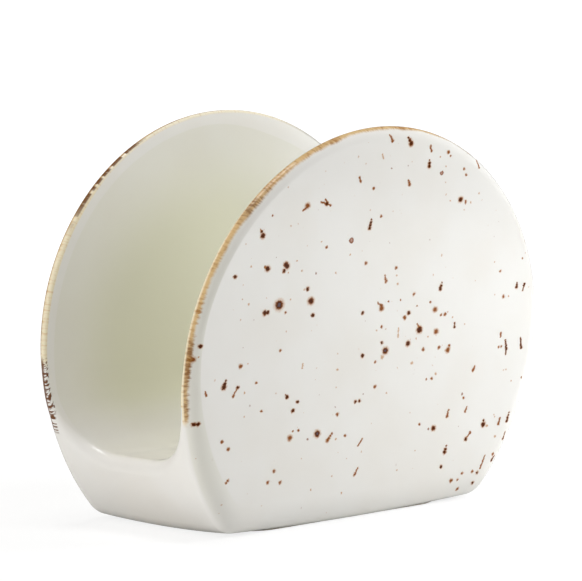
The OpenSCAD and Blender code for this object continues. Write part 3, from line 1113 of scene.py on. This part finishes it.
# %% Speckled glaze
def speckled_glaze(name, grains, low_end, low_lip, broken=False):
    """Glaze of a leaf. The brushed rim is broken up by dark bits and strokes where broken is set."""
    material, tree, shader = new_material(name)
    millimetres = millimetre_place(tree)
    at = place_on_rim(tree, millimetres)
    outer_face = between(tree, at["depth"], 1.2, 2.0)
    place = face_place(tree, millimetres)
    colour = body_colour_and_shade(tree, millimetres, at)
    colour = fine_specks(tree, place, outer_face, colour)
    for kind, layers in list(zip(grains, KINDS))[::-1]:
        colour = grain_paint(tree, nearest_grain(tree, place, kind), outer_face, colour, layers)
    colour = rim_paint(tree, at, colour, low_end, low_lip)
    if broken:
        colour = low_strokes(tree, at, rim_bits(tree, at, colour))
    glaze_shader(shader, colour, tree, millimetres)
    return material


print("speckled glaze ready, kinds of speck:", len(KINDS))

# %% [markdown]
# ## The bare foot
# The ring under the holder is ground flat and left bare, so the holder doesn't stick in the
# kiln. Bare porcelain is matt and a little sandy.

# %% Bare foot
GRIT_PER_MM, GRIT_STRENGTH, GRIT_HEIGHT = 1.6, 0.4, 0.2 * MM
BISCUIT_ROUGHNESS = 0.8


def bare_biscuit():
    material, tree, shader = new_material("bare_biscuit")
    grit = noise(tree, millimetre_place(tree), GRIT_PER_MM, 4.0)[0]
    colour = mix_colour(tree, between(tree, grit, 0.3, 0.7), BISCUIT, BISCUIT_GREY)
    tree.links.new(colour, shader.inputs["Base Color"])
    shader.inputs["Roughness"].default_value = BISCUIT_ROUGHNESS
    bump = add(tree, "Bump", {"Height": grit, "Strength": GRIT_STRENGTH, "Distance": GRIT_HEIGHT})
    tree.links.new(bump.outputs[0], shader.inputs["Normal"])
    return material


# %% Give the pieces their finish
clear = clear_glaze("clear_glaze_on_porcelain")
finishes = {
    front_leaf: speckled_glaze("speckled_glaze_front", FRONT_GRAINS, low_end=29.0, low_lip=0.9),
    back_leaf: speckled_glaze("speckled_glaze_back", BACK_GRAINS, low_end=38.0, low_lip=1.4, broken=True),
    saddle: clear_glaze("clear_glaze_with_strokes", stroked=True),
    left_wall: clear,
    right_wall: clear,
}
for piece, finish in finishes.items():
    piece.data.materials[GLAZE] = finish
    piece.data.materials[JOINT] = clear
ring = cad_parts["foot_ring"]
ring.data.materials.clear()
ring.data.materials.append(bare_biscuit())
print("finishes set on", len(finishes) + 1, "pieces")

# %% [markdown]
# ## Floor, world and lamps
# The holder stands on a pale seamless floor that melts into a white background. The camera sees
# that white, also through anything clear. The glaze mirrors the plain floor, a dim sky and the
# lamp above, and the light on the holder stays at a plain level. Near the holder the floor glows
# less, to keep its shadow.

# %% Floor and world
FLOOR_HALF, FLOOR_DROP = 3.0, 0.05 * MM
FLOOR_PAINT, FLOOR_GLOW = linear("#F4F4F3"), 1.12
GLOW_NEAR, GLOW_FAR, LEAST_GLOW = 0.08, 0.35, 0.72
SKY_LIGHT, SKY_COLOUR = 0.15, (1.0, 0.95, 0.85, 1.0)
WHITE = (1, 1, 1, 1)


def make_floor():
    deselect()
    bpy.ops.mesh.primitive_plane_add(size=2 * FLOOR_HALF, location=(0, 0, -FLOOR_DROP))
    floor = bpy.context.object
    floor.name = "floor"
    material = bpy.data.materials.new("pale_floor")
    material.use_nodes = True
    tree = material.node_tree
    tree.nodes.clear()
    matt = add(tree, "BsdfDiffuse", {"Color": FLOOR_PAINT}).outputs[0]
    glow = add(tree, "Emission", {"Color": WHITE, "Strength": FLOOR_GLOW}).outputs[0]
    place = add(tree, "TexCoord").outputs["Object"]
    away = add(tree, "VectorMath", {0: place}, operation="LENGTH").outputs["Value"]
    share = between(tree, away, GLOW_NEAR, GLOW_FAR, LEAST_GLOW, 1.0)
    both = add(tree, "MixShader", {0: share, 1: matt, 2: glow}).outputs[0]
    rays = add(tree, "LightPath").outputs
    seen = add(tree, "MixShader", {0: rays["Is Camera Ray"], 1: matt, 2: both}).outputs[0]
    add(tree, "OutputMaterial", {"Surface": seen})
    floor.data.materials.append(material)


def make_world():
    world = bpy.data.worlds.new("studio")
    scene.world = world
    world.use_nodes = True
    tree = world.node_tree
    tree.nodes.clear()
    light = add(tree, "Background", {"Color": SKY_COLOUR, "Strength": SKY_LIGHT}).outputs[0]
    white = add(tree, "Background", {"Color": WHITE, "Strength": 1.0}).outputs[0]
    rays = add(tree, "LightPath").outputs
    seen = maths(tree, "MAXIMUM", rays["Is Camera Ray"], rays["Is Transmission Ray"])
    both = add(tree, "MixShader", {0: seen, 1: light, 2: white}).outputs[0]
    add(tree, "OutputWorld", {"Surface": both})


make_floor()
make_world()
scene.view_settings.view_transform = "Standard"
print("floor and world ready")

# %% Lamps
# Each soft box is its place, its side in metres, its power in watts, its colour, and whether the
# glaze mirrors it.
LIT_PLACE = (0, 0, 0.045)
PLAIN, COOL = (1.0, 1.0, 1.0), (0.95, 0.975, 1.0)
SOFT_BOXES = {
    "right_box": ((0.34, -0.2, 0.2), 0.2, 1.34, COOL, False),
    "high_box": ((0.25, -0.25, 0.6), 0.3, 0.54, PLAIN, False),
    "left_box": ((-0.75, 0.05, 0.22), 0.35, 2.4, PLAIN, False),
    "top_box": ((0.0, 0.1, 0.9), 0.4, 3.1, PLAIN, True),
}


def soft_box(name, place, side, power, colour, mirrored):
    lamp = bpy.data.lights.new(name, "AREA")
    lamp.shape, lamp.size, lamp.energy, lamp.color = "SQUARE", side, power, colour
    box = bpy.data.objects.new(name, lamp)
    scene.collection.objects.link(box)
    box.location = place
    box.visible_glossy = mirrored
    box.rotation_mode = "QUATERNION"
    box.rotation_quaternion = (Vector(LIT_PLACE) - Vector(place)).to_track_quat("-Z", "Y")


for name, values in SOFT_BOXES.items():
    soft_box(name, *values)
print("lamps:", len(SOFT_BOXES))
